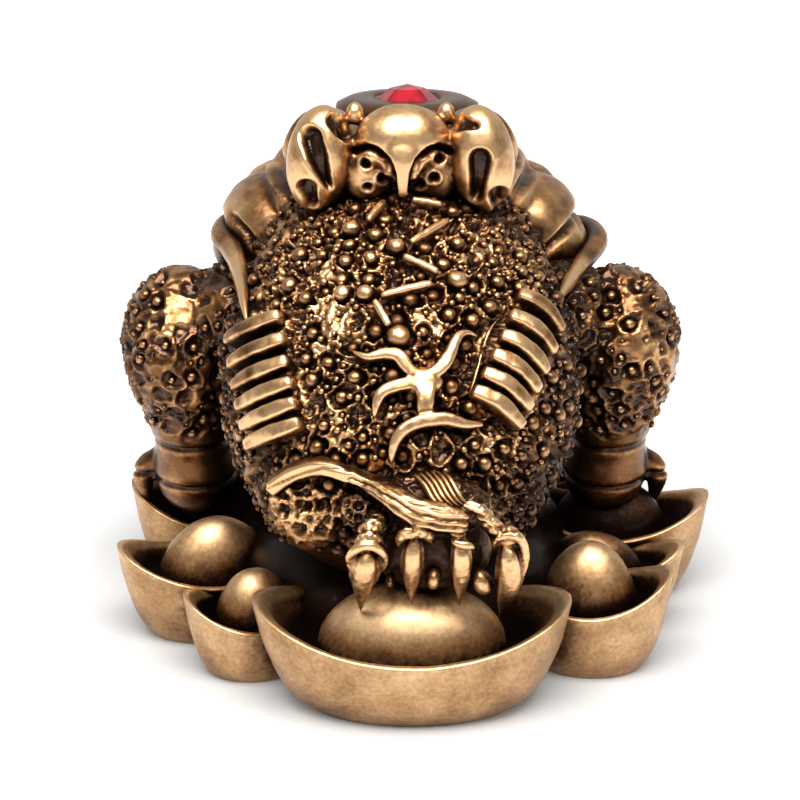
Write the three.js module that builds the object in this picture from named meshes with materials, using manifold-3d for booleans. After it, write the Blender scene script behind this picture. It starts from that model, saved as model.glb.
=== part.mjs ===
// A money toad: a three-legged toad crouching on a ring of gold ingots, cast in one piece, with set stones.
// Millimetres, +Z up. The toad looks along +Y, so its back and its single hind leg face -Y.
// The origin is under the middle of the whole figure's box, on the surface that it stands on.
import * as THREE from "three";
import { mergeVertices } from "three/addons/utils/BufferGeometryUtils.js";
import Module from "manifold-3d";

const wasm = await Module();
wasm.setup();

// The carved form is laid out for a toad 73 mm tall, and grows with TOAD_HEIGHT.
const TOAD_HEIGHT = 73;

// Details with a size of their own.
const RIB_COUNT = 6;
const RIB_WIDTH = 2;
const RIB_HEIGHT = 1.8;
const TENDRIL_WIDTH = 2.3;
const TENDRIL_HEIGHT = 1.8;
const STAR_DIAMETER = 3;
const ROD_DIAMETER = 1.1;
const CLAW_WIDTH = 3.8;
const STRAP_WIDTH = 1.9;
const CORD_DIAMETER = 3;
const RIM_WIDTH = 1.2;
const COIN_DIAMETER = 18;
const COIN_THICKNESS = 2.4;
const COIN_HOLE = 4.4;
const CROWN_STONE_DIAMETER = 9;
const CROWN_STONE_HEIGHT = 2.2;
const CROWN_COLLAR_WIDTH = 5.6;
const EYE_STONE_DIAMETER = 5.4;
const EYE_STONE_HEIGHT = 1.6;
const EYE_COLLAR_WIDTH = 1;
const COLLAR_LIP = 0.4;
const STONE_SEAT = 1.4;
const STONE_GAP = 0.3;

const BRONZE = new THREE.Color(0.42, 0.27, 0.13);
const RED_GLASS = new THREE.Color(0.5, 0.01, 0.02);

const SHARE = TOAD_HEIGHT / 73;
const UP = new THREE.Vector3(0, 0, 1);
const SIDEWAYS = new THREE.Vector3(1, 0, 0);
const FORWARD = new THREE.Vector3(0, 1, 0);
const BACKWARD = new THREE.Vector3(0, -1, 0);
const BOTH_SIDES = [-1, 1];

// A place on the carved form.
function at(x, y, z) {
  return new THREE.Vector3(x, y, z).multiplyScalar(SHARE);
}

// A geometry with positions alone, each shared by the faces that meet there.
function welded(geometry) {
  const bare = new THREE.BufferGeometry();
  bare.setAttribute("position", geometry.getAttribute("position"));
  bare.setIndex(geometry.getIndex());
  return mergeVertices(bare, 1e-4);
}

// A closed geometry as a solid that can be joined and cut.
function solid(geometry) {
  const whole = welded(geometry);
  const vertProperties = whole.getAttribute("position").array;
  const triVerts = new Uint32Array(whole.getIndex().array);
  return new wasm.Manifold(new wasm.Mesh({ numProp: 3, vertProperties, triVerts }));
}

function joined(solids) {
  return solids.reduce((whole, next) => whole.add(next));
}

// A solid as a named mesh.
function meshOf(name, whole, colour, metalness, roughness) {
  const made = whole.getMesh();
  const geometry = new THREE.BufferGeometry();
  geometry.setAttribute("position", new THREE.BufferAttribute(made.vertProperties, 3));
  geometry.setIndex(new THREE.BufferAttribute(made.triVerts, 1));
  geometry.computeVertexNormals();
  const material = new THREE.MeshStandardMaterial({ color: colour, metalness, roughness });
  const mesh = new THREE.Mesh(geometry, material);
  mesh.name = name;
  return mesh;
}

// A lathe shape whose axis is +Z, from a profile of radius and height.
function turned(profile, sides) {
  const geometry = new THREE.LatheGeometry(profile.map(([r, z]) => new THREE.Vector2(r, z)), sides);
  return geometry.rotateX(Math.PI / 2);
}

// An egg: a sphere with its own three half-widths, turned about X, Y and Z in degrees.
function egg(centre, radii, { turn = [0, 0, 0], sides = 12, rings = 6 } = {}) {
  const geometry = new THREE.SphereGeometry(SHARE, sides, rings);
  geometry.rotateX(Math.PI / 2);
  geometry.scale(...radii);
  const angles = turn.map(THREE.MathUtils.degToRad);
  geometry.applyMatrix4(new THREE.Matrix4().makeRotationFromEuler(new THREE.Euler(...angles, "ZYX")));
  geometry.translate(centre.x, centre.y, centre.z);
  return solid(geometry);
}

// The value at a share of the way along a list of evenly spaced numbers.
function along(list, share) {
  const place = share * (list.length - 1);
  const before = Math.min(Math.floor(place), list.length - 2);
  return THREE.MathUtils.lerp(list[before], list[before + 1], place - before);
}

// A form swept along a smooth curve, with half-widths across it and half-depths towards "out".
// Its ends are round, the more so the nearer fullness is to 1, or else square, with flats at the half-widths.
function sweep(points, halfWidths, halfDepths, shape = {}) {
  const { sides = 6, rings = 6, fullness = 0.4, square = false, out = UP } = shape;
  const curve = new THREE.CatmullRomCurve3(points);
  const geometry = new THREE.SphereGeometry(1, sides, rings, Math.PI / sides);
  const position = geometry.getAttribute("position");
  const reach = square ? 1 / Math.cos(Math.PI / sides) : 1;
  for (let i = 0; i < position.count; i++) {
    const polar = Math.acos(THREE.MathUtils.clamp(position.getY(i), -1, 1)) / Math.PI;
    const share = square ? THREE.MathUtils.clamp((polar * rings - 1) / (rings - 2), 0, 1) : polar;
    const ring = Math.hypot(position.getX(i), position.getZ(i));
    const spread = ring > 1e-6 ? reach * Math.pow(ring, (square ? 0 : fullness) - 1) : 0;
    const heading = curve.getTangentAt(share);
    const side = new THREE.Vector3().crossVectors(out, heading).normalize();
    const lift = new THREE.Vector3().crossVectors(heading, side);
    const point = curve.getPointAt(share);
    point.addScaledVector(side, position.getX(i) * spread * along(halfWidths, share));
    point.addScaledVector(lift, position.getZ(i) * spread * along(halfDepths, share));
    position.setXYZ(i, point.x, point.y, point.z);
  }
  return solid(geometry);
}

// Half-widths given as shares of the carved form.
function shares(...values) {
  return values.map((value) => value * SHARE);
}

// The torso is one egg, tilted up towards the head, and the carving of the back lies on it.
const TORSO = { centre: at(0, -1, 37), radii: [24, 29, 21], tilt: 40 };
const TORSO_TURN = new THREE.Matrix4().makeRotationX(THREE.MathUtils.degToRad(TORSO.tilt));

// The point of the back at x and z, raised by "lift" along the surface's normal, and that normal.
function onBack(x, z, lift = 0) {
  const inside = TORSO_TURN.clone().invert();
  const size = new THREE.Vector3(...TORSO.radii).multiplyScalar(SHARE);
  const start = at(x, 0, z).sub(TORSO.centre).setY(0).applyMatrix4(inside).divide(size);
  const step = BACKWARD.clone().applyMatrix4(inside).divide(size);
  const half = start.dot(step) / step.lengthSq();
  const rest = (start.lengthSq() - 1) / step.lengthSq();
  const hit = start.addScaledVector(step, Math.sqrt(Math.max(half * half - rest, 0)) - half);
  const normal = hit.clone().divide(size).applyMatrix4(TORSO_TURN).normalize();
  const point = hit.multiply(size).applyMatrix4(TORSO_TURN).add(TORSO.centre);
  return { point: point.addScaledVector(normal, lift), normal };
}

function onBackPath(places, lift) {
  return places.map(([x, z]) => onBack(x, z, lift).point);
}

function torso() {
  return joined([
    egg(TORSO.centre, TORSO.radii, { turn: [TORSO.tilt, 0, 0], sides: 18, rings: 10 }),
    egg(at(0, 11, 49), [20, 15, 13], { sides: 10 }),
    egg(at(-9.5, -17, 27), [9, 8, 8.5], { sides: 9, rings: 5 }),
    egg(at(9, -14, 25), [9, 8, 8.5], { sides: 9, rings: 5 }),
  ]);
}

// The bars down each flank. Each bows upwards from its inner end to its outer end.
const FLANKS = [
  { inner: [-14.7, 48.8], innerStep: [0.54, -2.14], outer: [-20.6, 43.9], outerStep: [0.58, -2.04], bow: 0.3 },
  { inner: [14.6, 50.9], innerStep: [-1.18, -1.74], outer: [19.8, 45.4], outerStep: [-1.06, -1.68], bow: 0.8 },
];
function ribs() {
  const bars = [];
  for (const { inner, innerStep, outer, outerStep, bow } of FLANKS) {
    for (let i = 0; i < RIB_COUNT; i++) {
      const start = [inner[0] + i * innerStep[0], inner[1] + i * innerStep[1]];
      const end = [outer[0] + i * outerStep[0], outer[1] + i * outerStep[1]];
      const middle = [(start[0] + end[0]) / 2, (start[1] + end[1]) / 2 + bow];
      const path = onBackPath([start, middle, end], 0);
      const w = RIB_WIDTH / 2;
      const shape = { sides: 4, rings: 4, square: true, out: onBack(...middle).normal };
      bars.push(sweep(path, [w, w], [RIB_HEIGHT, RIB_HEIGHT], shape));
    }
  }
  return joined(bars);
}

// Seven balls and the rods between them, as a chain of stars down the back.
function stars() {
  const balls = [
    [-6.2, 58.1],
    [-3.8, 55.7],
    [-0.6, 56.9],
    [7, 53.5],
    [-4.4, 52.5],
    [-7.3, 52.2],
    [-0.2, 48.3],
  ];
  const rods = [
    [[-4.1, 58.7], [-2, 60.3]],
    [[1.4, 60.4], [5.3, 59.8]],
    [[1.2, 57], [6, 58.6]],
    [[0.3, 55.9], [4.7, 54.2]],
    [[-2.5, 52.1], [4, 53.3]],
    [[-3.2, 51.7], [-1.3, 49.2]],
  ];
  const r = ROD_DIAMETER / 2;
  const shapeOf = (rod) => ({ sides: 4, rings: 3, square: true, out: onBack(...rod[0]).normal });
  return joined([
    ...balls.map(([x, z]) => ball(onBack(x, z, STAR_DIAMETER / 6).point, STAR_DIAMETER)),
    ...rods.map((rod) => sweep(onBackPath(rod, r), [r, r], [r * 2, r * 2], shapeOf(rod))),
  ]);
}

function ball(centre, diameter) {
  const geometry = new THREE.IcosahedronGeometry(diameter / 2, 0);
  return solid(geometry.translate(centre.x, centre.y, centre.z));
}

// Smooth flat tendrils that lie across the back: four arms that meet in a cross, and a hooked one below.
function tendrils() {
  const curls = [
    [[-6, 46.6], [-1.7, 46.4], [1, 44.9], [2.9, 43.6], [4.2, 42.4]],
    [[9.6, 47.6], [7.2, 48], [5.8, 45.9], [2.9, 43.9], [1.2, 42.8]],
    [[-3.2, 39.5], [-2.1, 42.4], [-0.4, 43.1], [2.4, 43.6], [4.2, 44]],
    [[2.8, 38.6], [2.9, 41.5], [2.8, 45.4]],
    [[10.3, 38.1], [5.5, 39.3], [1, 38.7], [-1, 35.7], [-1.1, 34.1]],
  ];
  const widths = [0.3, 0.42, 0.5, 0.5, 0.45].map((share) => share * TENDRIL_WIDTH);
  const depths = [TENDRIL_HEIGHT, TENDRIL_HEIGHT];
  const shapeOf = (curl) => ({ sides: 4, rings: 6, out: onBack(...curl[0]).normal });
  return joined(curls.map((curl) => sweep(onBackPath(curl, 0), widths, depths, shapeOf(curl))));
}

// The head: broad jaws, a rounded snout, bulging eyes and a crest of three lobes behind them.
function head() {
  const ridge = [at(0.3, 1, 70), at(0.3, -0.4, 65.5), at(0.3, -2.4, 61)];
  const middle = [
    egg(at(0, 21, 58), [19, 18, 8.5], { turn: [8, 0, 0] }),
    egg(at(0, 23, 50), [22, 18.5, 8.5], { turn: [12, 0, 0] }),
    egg(at(0.5, 29.5, 61.5), [11.5, 10, 7], { sides: 10, rings: 5 }),
    egg(at(0.3, 2.6, 68.2), [6.3, 4.2, 4.6], { sides: 8 }),
    sweep(ridge, shares(5, 1.9, 0.8), shares(3, 2.4, 1), { rings: 5 }),
  ];
  const sides = BOTH_SIDES.flatMap((s) => [
    egg(at(s * 18.5, 21, 50.5), [7.2, 10, 8.6], { turn: [0, 0, -s * 12], sides: 8, rings: 5 }),
    egg(at(s * 9.8, 10, 64.5), [5.4, 7.5, 6.4], { sides: 8, rings: 5 }),
    egg(at(s * 10.6, 2.8, 65.7), [4.4, 4.4, 7.2], { turn: [0, -s * 8, 0], sides: 9, rings: 6 }),
    lip(s),
  ]);
  const cuts = BOTH_SIDES.flatMap((s) => [
    slot([at(s * 11.6, -0.8, 69), at(s * 10, -1.4, 65.6), at(s * 9.4, -1.2, 61)], 1.5),
    slot([at(s * 9.6, 0.6, 71.8), at(s * 7.8, 0, 69.8), at(s * 7.2, 0, 66)], 1),
    slot([at(s * 14, 0.4, 65), at(s * 12.6, -0.4, 62.4), at(s * 11.4, -0.4, 60)], 1.2),
    mouthLine(s),
    egg(at(s * 4, 39.5, 62.5), [1.4, 2, 1.2], { sides: 5, rings: 3 }),
  ]);
  return joined([...middle, ...sides]).subtract(joined(cuts));
}

function lip(s) {
  const line = [
    at(s * 3.5, 41.5, 58),
    at(s * 13, 37, 56.5),
    at(s * 20, 27, 56),
    at(s * 19.5, 16, 54.5),
    at(s * 15, 8, 54),
  ];
  return sweep(line, shares(2, 2.2, 2.2, 1.8, 0.8), shares(2.4, 2.6, 2.6, 2.2, 1), { sides: 5 });
}

function mouthLine(s) {
  const line = [at(s * 4, 43.5, 53.5), at(s * 16, 37, 53), at(s * 25.5, 26, 53.5), at(s * 25.5, 16, 52.5)];
  return sweep(line, shares(1.6, 1.6, 1.4, 0.8), shares(1.1, 1.1, 1.1, 0.7), { sides: 5 });
}

// A comma-shaped cut in the crest, widest at its start.
function slot(points, halfWidth) {
  const widths = shares(halfWidth, halfWidth, halfWidth / 2);
  return sweep(points, widths, shares(2, 1.6, 1), { sides: 5, rings: 4, out: BACKWARD });
}

// A coin with a square hole, held between the jaws.
const COIN_PLACE = { centre: at(0, 38.5, 54.6), tilt: 10 };
function coin() {
  const outline = new THREE.Shape();
  outline.absarc(0, 0, COIN_DIAMETER / 2, 0, 2 * Math.PI);
  const h = COIN_HOLE / 2;
  const corners = [[-h, -h], [-h, h], [h, h], [h, -h]];
  outline.holes.push(new THREE.Path(corners.map(([x, y]) => new THREE.Vector2(x, y))));
  const extrusion = { depth: COIN_THICKNESS, bevelEnabled: false, curveSegments: 10 };
  const disc = new THREE.ExtrudeGeometry(outline, extrusion);
  disc.translate(0, 0, -COIN_THICKNESS / 2);
  disc.rotateX(THREE.MathUtils.degToRad(COIN_PLACE.tilt));
  disc.translate(COIN_PLACE.centre.x, COIN_PLACE.centre.y, COIN_PLACE.centre.z);
  return solid(disc);
}

// A cord over each shoulder, from under the jaw to the ribs.
function shoulderCords() {
  const left = [
    at(-14, 30, 46),
    at(-25, 27, 48.6),
    at(-24.6, 20, 48.4),
    at(-22, 12, 47.2),
    at(-20.8, 5, 45.6),
    at(-19.6, -1, 43.6),
  ];
  const right = [
    at(14, 30, 46),
    at(26.4, 26, 48),
    at(25.6, 19, 48.6),
    at(23.4, 12, 47.9),
    at(21.4, 5, 47.2),
    at(19.6, 0, 47),
  ];
  const r = CORD_DIAMETER / 2;
  return joined([left, right].map((path) => sweep(path, [r, r * 1.4, r, r * 0.7], [r, r * 1.4, r, r * 0.8])));
}

// One front leg: an arm with two bands at its wrist, a spur, and a foot of three toes on the front ingots.
function frontLeg(s) {
  const arm = [at(s * 28.6, 12, 48.2), at(s * 30.6, 12, 40), at(s * 29.6, 12.6, 30), at(s * 29, 14, 11)];
  const armWidths = shares(6.6, 8.6, 9, 8.9, 8.2, 7.2, 6.3, 5.9, 7.4, 7.9, 6.4);
  const armDepths = shares(7, 9.6, 10.6, 10.4, 9.8, 9, 8.2, 7.8, 9, 9.4, 8);
  const foot = [at(s * 29, 14, 18), at(s * 27, 26, 19), at(s * 25, 33, 17)];
  const spur = [at(s * 32.5, 12.5, 21.5), at(s * 36.6, 13.5, 17.5), at(s * 36, 14, 11)];
  const toeWidths = [0.6, 0.65, 0.1].map((share) => share * CLAW_WIDTH);
  const toes = [-1, 0, 1].map((i) => {
    const x = s * 25.4;
    const points = [at(x + i * 2, 29, 18), at(x + i * 5.4, 36.5, 19.4), at(x + i * 6.6, 41, 11)];
    return sweep(points, toeWidths, toeWidths, { rings: 5 });
  });
  return joined([
    sweep(arm, armWidths, armDepths, { sides: 10, rings: 10, fullness: 0.35, out: FORWARD }),
    egg(at(s * 22, 11, 42), [8, 9, 7], { sides: 8, rings: 4 }),
    sweep(foot, shares(5, 6, 4.5), shares(4.5, 4.5, 3.5), { rings: 5 }),
    sweep(spur, shares(1.6, 1.8, 0.6), shares(1.6, 1.8, 0.6), { sides: 5, rings: 4, out: SIDEWAYS }),
    ...toes,
  ]);
}

// A toe from its root over the knuckle, with a hood around the root of its claw, which runs down to a point.
function toe({ line, width }) {
  const points = line.map((place) => at(...place));
  const w = (width * CLAW_WIDTH) / 2;
  const widths = [0.75, 0.9, 1.2, 0.95, 0.85, 0.7, 0.45, 0.1].map((share) => share * w);
  return sweep(points, widths, widths, { rings: 9, fullness: 0.3, out: SIDEWAYS });
}

// The single hind leg: a strap from the left flank, a shin, a tuft at the ankle, and four clawed toes.
function hindLeg() {
  const strap = [
    at(-16.6, -22.3, 29.2),
    at(-14.4, -23.1, 31.3),
    at(-12.5, -23.7, 32.5),
    at(-9.6, -25.1, 33.5),
    at(-6.8, -26.4, 33.4),
  ];
  const shin = [
    at(-6.4, -26.9, 32.9),
    at(-3, -28, 32),
    at(-0.5, -30.2, 31.3),
    at(1.5, -31.3, 30.3),
    at(4.4, -31.8, 29.6),
    at(8.3, -31.4, 28.7),
  ];
  const tuft = [at(3.4, -27.6, 33.6), at(4.8, -29.2, 32.6), at(6, -31, 31.2), at(7.2, -31.6, 30.2)];
  const toes = [
    { line: [[-1, -26.5, 28], [-3.9, -30.2, 26.2], [-4.2, -31.4, 22.8], [-4.7, -29.8, 19.3], [-5.1, -25.9, 13.7]], width: 1.1 },
    { line: [[2.6, -30.2, 29], [1.8, -31.4, 27], [1.5, -31.6, 23.7], [1.4, -30.2, 20.2], [1.4, -26, 14.6]], width: 0.75 },
    { line: [[6.8, -30.2, 29], [7.1, -31.2, 26.8], [7.5, -31.5, 23.7], [7.5, -30.2, 20.2], [7.4, -26, 14.5]], width: 0.75 },
    { line: [[7, -29.4, 30], [12.6, -30.6, 27], [13.6, -30.4, 21], [13.2, -28, 16.8], [12.7, -24.2, 11.5]], width: 1 },
  ];
  const w = STRAP_WIDTH / 2;
  return joined([
    sweep(strap, [w, w], shares(1.5, 1.5), { sides: 4, rings: 6, square: true, out: BACKWARD }),
    sweep(shin, shares(1.1, 1.5, 2, 2.2, 2.1), shares(1.6, 1.9, 2, 2, 1.8), { rings: 7, out: BACKWARD }),
    sweep(tuft, shares(1.4, 2.6, 1.4), shares(1, 1.4, 1), { rings: 4, out: BACKWARD }),
    egg(at(4, -26, 29), [8, 5, 4.2], { turn: [0, 8, 0], sides: 9, rings: 5 }),
    egg(at(4, -25.2, 22), [7.8, 3, 5.5], { sides: 8, rings: 4 }),
    egg(at(-5, -26.3, 28.2), [2.4, 2.3, 2.9], { sides: 6, rings: 4 }),
    ...toes.map(toe),
  ]);
}

// One ingot: a boat-shaped hull whose rim rises to both tips, with a hollow around an egg-shaped middle.
function ingot({ x, y, yaw, length, width, height, sides = 10 }) {
  const rim = height * 0.7;
  const inner = 1 - (2 * RIM_WIDTH) / (width * SHARE);
  const profile = [
    [0, 0], [0.66, 0], [0.9, rim * 0.5], [1, rim],
    [inner, rim - 0.3], [0.66, rim - 2.8], [0.52, rim + 0.6], [0.32, rim + 4.4], [0, rim + 5.7],
  ];
  const geometry = turned(profile, sides);
  const position = geometry.getAttribute("position");
  for (let i = 0; i < position.count; i++) {
    const u = position.getX(i);
    const v = position.getY(i);
    const z = position.getZ(i);
    const lifted = z + (height - rim) * u * u * Math.hypot(u, v) * Math.min(z / rim, 1);
    position.setXYZ(i, (u * length) / 2, (v * width) / 2, lifted);
  }
  geometry.scale(SHARE, SHARE, SHARE);
  geometry.rotateZ(THREE.MathUtils.degToRad(yaw));
  geometry.translate(...at(x, y, 0));
  return solid(geometry);
}

const INGOTS = [
  { x: 1.5, y: -23, yaw: 0, length: 41, width: 24, height: 14.5, sides: 14 },
  { x: -19.3, y: -13.6, yaw: 14, length: 19, width: 15, height: 11.5 },
  { x: -25.4, y: -1.4, yaw: 12, length: 27, width: 17, height: 13.5 },
  { x: -25.5, y: 17, yaw: -2, length: 27, width: 17, height: 14.5 },
  { x: 25.2, y: -11.9, yaw: -10, length: 22, width: 17, height: 14 },
  { x: 26.5, y: -2, yaw: -8, length: 25, width: 15, height: 13, sides: 8 },
  { x: 30, y: 12.5, yaw: -6, length: 28, width: 18, height: 15 },
  { x: -20, y: 35, yaw: 24, length: 28, width: 18, height: 13.5, sides: 8 },
  { x: 20, y: 35, yaw: -24, length: 28, width: 18, height: 13.5, sides: 8 },
  { x: 0, y: 43.5, yaw: 0, length: 30, width: 19, height: 13.5 },
];

// The mass under the belly that joins the ingots, flat below.
function mound() {
  const profile = [[0, 0], [1, 0], [0.85, 14], [0, 21]];
  const geometry = turned(profile, 12);
  geometry.scale(25 * SHARE, 31 * SHARE, SHARE);
  return solid(geometry.translate(...at(0, 8, 0)));
}

function placed(geometry, { centre, axis }) {
  geometry.applyQuaternion(new THREE.Quaternion().setFromUnitVectors(UP, axis));
  return solid(geometry.translate(centre.x, centre.y, centre.z));
}

// The stones, each with its girdle's middle, the way that it faces and the width of the collar around it.
const CROWN_STONE = {
  name: "crown_stone",
  diameter: CROWN_STONE_DIAMETER,
  height: CROWN_STONE_HEIGHT,
  collar: CROWN_COLLAR_WIDTH,
  sides: 8,
  crown: [[0.55, 0.75]],
  place: { centre: at(1, 29.5, 67.8), axis: new THREE.Vector3(0, 0.06, 1).normalize() },
};
const EYE_STONES = BOTH_SIDES.map((s) => ({
  name: s < 0 ? "eye_stone_left" : "eye_stone_right",
  diameter: EYE_STONE_DIAMETER,
  height: EYE_STONE_HEIGHT,
  collar: EYE_COLLAR_WIDTH,
  sides: 10,
  crown: [[0.88, 0.45], [0.55, 0.84]],
  place: { centre: at(s * 13.4, 13.4, 66.2), axis: new THREE.Vector3(s * 0.8, 0.5, 0.34).normalize() },
}));
const STONES = [CROWN_STONE, ...EYE_STONES];

function stone({ diameter, height, sides, crown, place }) {
  const r = diameter / 2;
  const facets = crown.map(([across, up]) => [across * r, up * height]);
  const profile = [[0, -STONE_SEAT], [r * 0.8, -STONE_SEAT], [r, 0], ...facets, [0, height]];
  return placed(turned(profile, sides), place);
}

// What is cut away for a stone: its outline, larger by the gap and open above.
function socket({ diameter, sides, place }) {
  const r = diameter / 2 + STONE_GAP;
  const floor = -STONE_SEAT - STONE_GAP;
  return placed(turned([[0, floor], [r, floor], [r, diameter], [0, diameter]], sides), place);
}

// The raised collar that holds a stone, sloped at its edge.
function collar({ diameter, collar, place }) {
  const r = diameter / 2 + STONE_GAP + collar;
  const slope = 0.4 + collar / 4;
  const foot = -diameter / 2;
  const profile = [[0, foot], [r, foot], [r, -slope], [r - slope, COLLAR_LIP], [0, COLLAR_LIP]];
  return placed(turned(profile, 12), place);
}

const cast = joined([
  torso(), head(), coin(), shoulderCords(), frontLeg(-1), frontLeg(1), hindLeg(),
  ribs(), stars(), tendrils(), mound(), ...INGOTS.map(ingot), ...STONES.map(collar),
]);

const figure = new THREE.Group();
figure.add(meshOf("toad_on_ingots", cast.subtract(joined(STONES.map(socket))), BRONZE, 0.9, 0.35));
for (const each of STONES) {
  figure.add(meshOf(each.name, stone(each), RED_GLASS, 0, 0.1));
}

const box = new THREE.Box3().setFromObject(figure);
const middle = box.getCenter(new THREE.Vector3());
figure.position.set(-middle.x, -middle.y, -box.min.z);

const part = new THREE.Group();
part.add(figure);
export default part;
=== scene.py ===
import math

import bmesh
import bpy
import numpy as np
from mathutils import Euler, Matrix, Vector, noise
from mathutils.bvhtree import BVHTree


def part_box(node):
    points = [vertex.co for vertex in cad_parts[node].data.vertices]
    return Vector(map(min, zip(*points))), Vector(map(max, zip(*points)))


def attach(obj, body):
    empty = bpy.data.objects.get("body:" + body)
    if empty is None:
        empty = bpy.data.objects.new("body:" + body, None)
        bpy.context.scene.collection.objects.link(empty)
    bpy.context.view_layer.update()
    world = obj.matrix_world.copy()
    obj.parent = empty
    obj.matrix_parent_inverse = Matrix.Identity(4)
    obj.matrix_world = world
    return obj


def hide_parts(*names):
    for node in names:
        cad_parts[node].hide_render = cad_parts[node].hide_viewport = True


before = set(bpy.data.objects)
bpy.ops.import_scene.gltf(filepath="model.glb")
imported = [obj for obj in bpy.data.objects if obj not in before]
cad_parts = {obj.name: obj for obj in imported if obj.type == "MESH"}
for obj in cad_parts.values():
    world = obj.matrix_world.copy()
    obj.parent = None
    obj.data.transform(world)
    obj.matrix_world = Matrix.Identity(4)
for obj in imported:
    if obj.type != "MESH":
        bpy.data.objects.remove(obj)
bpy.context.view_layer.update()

MM = 0.001
UP = (0, 0, 1)
SIDEWAYS = (1, 0, 0)
FORWARD = (0, 1, 0)
BACKWARD = (0, -1, 0)
SIDES = {-1: "left", 1: "right"}

# The stones in carved millimetres: the middle of the crown stone, the radii, and the gap to their seats.
CROWN_X = 1
CROWN_Y = 29.5
CROWN_STONE_RADIUS = 4.5
EYE_STONE_RADIUS = 2.7
STONE_GAP = 0.3


def carved_origin():
    """Where the carved form's own zero lies in the frame, worked out from the crown stone's place."""
    low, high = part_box("crown_stone")
    middle = (low + high) / 2
    return Vector((middle.x - CROWN_X * MM, middle.y - CROWN_Y * MM, 0))


TO_FRAME = Matrix.Translation(carved_origin()) @ Matrix.Scale(MM, 4)


# Curves and forms.


class Path:
    """A smooth curve through points, read by share of its length."""

    STEPS = 24

    def __init__(self, points):
        p = np.array(points, float)
        p = np.vstack((2 * p[0] - p[1], p, 2 * p[-1] - p[-2]))
        dense = [p[1]]
        for a, b, c, d in zip(p, p[1:], p[2:], p[3:]):
            spans = [max(np.linalg.norm(v - u), 1e-6) ** 0.5 for u, v in ((a, b), (b, c), (c, d))]
            knots = np.cumsum([0, *spans])
            for t in np.linspace(knots[1], knots[2], self.STEPS + 1)[1:]:
                dense.append(self.between((a, b, c, d), knots, t))
        self.dense = np.array(dense)
        steps = np.linalg.norm(np.diff(self.dense, axis=0), axis=1)
        self.shares = np.concatenate(([0], np.cumsum(steps))) / steps.sum()

    @staticmethod
    def between(corners, knots, t):
        """The curve's point at t, blended from its four nearest corners."""
        level = list(corners)
        for span in (1, 2):
            pairs = zip(knots, knots[span:], level, level[1:])
            level = [((b - t) * u + (t - a) * v) / (b - a) for a, b, u, v in pairs]
        return ((knots[2] - t) * level[0] + (t - knots[1]) * level[1]) / (knots[2] - knots[1])

    def at(self, share):
        return np.stack([np.interp(share, self.shares, self.dense[:, k]) for k in range(3)], axis=-1)

    def heading(self, share):
        ahead = self.at(np.minimum(share + 0.01, 1)) - self.at(np.maximum(share - 0.01, 0))
        return unit(ahead)


def unit(vectors):
    return vectors / np.maximum(np.linalg.norm(vectors, axis=-1, keepdims=True), 1e-9)


def evenly(points, count):
    """Points at even shares of the smooth curve through the given points."""
    return Path(points).at(np.linspace(0, 1, count))


def mirrored(side, points):
    """Points of the right side, brought to the side -1 or 1."""
    return [(side * x, y, z) for x, y, z in points]


def along(values, share):
    """The value at a share of the way along a list of evenly spaced numbers."""
    return np.interp(share, np.linspace(0, 1, len(values)), values)


def egg(bm, centre, radii, turn=(0, 0, 0), sides=32, rings=20):
    """A ball with its own three half-widths, turned about X, Y and Z in degrees."""
    angles = Euler([math.radians(a) for a in turn], "XYZ")
    shape = Matrix.LocRotScale(Vector(centre), angles, Vector(radii))
    bmesh.ops.create_uvsphere(bm, u_segments=sides, v_segments=rings, radius=1, matrix=shape)


def sweep(bm, points, half_widths, half_depths, sides=16, rings=20, fullness=0.4, corner=1, out=UP):
    """A form along a smooth curve, with half-widths across it and half-depths towards out.
    Its ends are blunter the smaller fullness is, and its section is squarer the smaller corner is."""
    verts = bmesh.ops.create_uvsphere(bm, u_segments=sides, v_segments=rings, radius=1)["verts"]
    co = np.array([v.co for v in verts])
    share = np.arccos(np.clip(co[:, 2], -1, 1)) / math.pi
    ring = np.hypot(co[:, 0], co[:, 1])
    spread = np.where(ring > 1e-6, ring**fullness, 0)
    section = np.sign(co[:, :2]) * np.abs(co[:, :2] / np.maximum(ring, 1e-6)[:, None]) ** corner
    path = Path(points)
    heading = path.heading(share)
    side = unit(np.cross(out, heading))
    lift = np.cross(side, heading)
    across = (spread * section[:, 0] * along(half_widths, share))[:, None]
    deep = (spread * section[:, 1] * along(half_depths, share))[:, None]
    for v, place in zip(verts, path.at(share) + side * across + lift * deep):
        v.co = place


def raw_mesh(bm, name):
    """The form as a mesh in carved millimetres."""
    mesh = bpy.data.meshes.new(name)
    bm.to_mesh(mesh)
    bm.free()
    return mesh


def fused(bm, voxel):
    """One skin around all that the form holds, with faces about as wide as the voxel."""
    rough = bpy.data.objects.new("rough", raw_mesh(bm, "rough"))
    bpy.context.scene.collection.objects.link(rough)
    remesh = rough.modifiers.new("fuse", "REMESH")
    remesh.mode = "VOXEL"
    remesh.voxel_size = voxel
    made = rough.evaluated_get(bpy.context.evaluated_depsgraph_get())
    mesh = bpy.data.meshes.new_from_object(made)
    bpy.data.objects.remove(rough)
    return mesh


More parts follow.
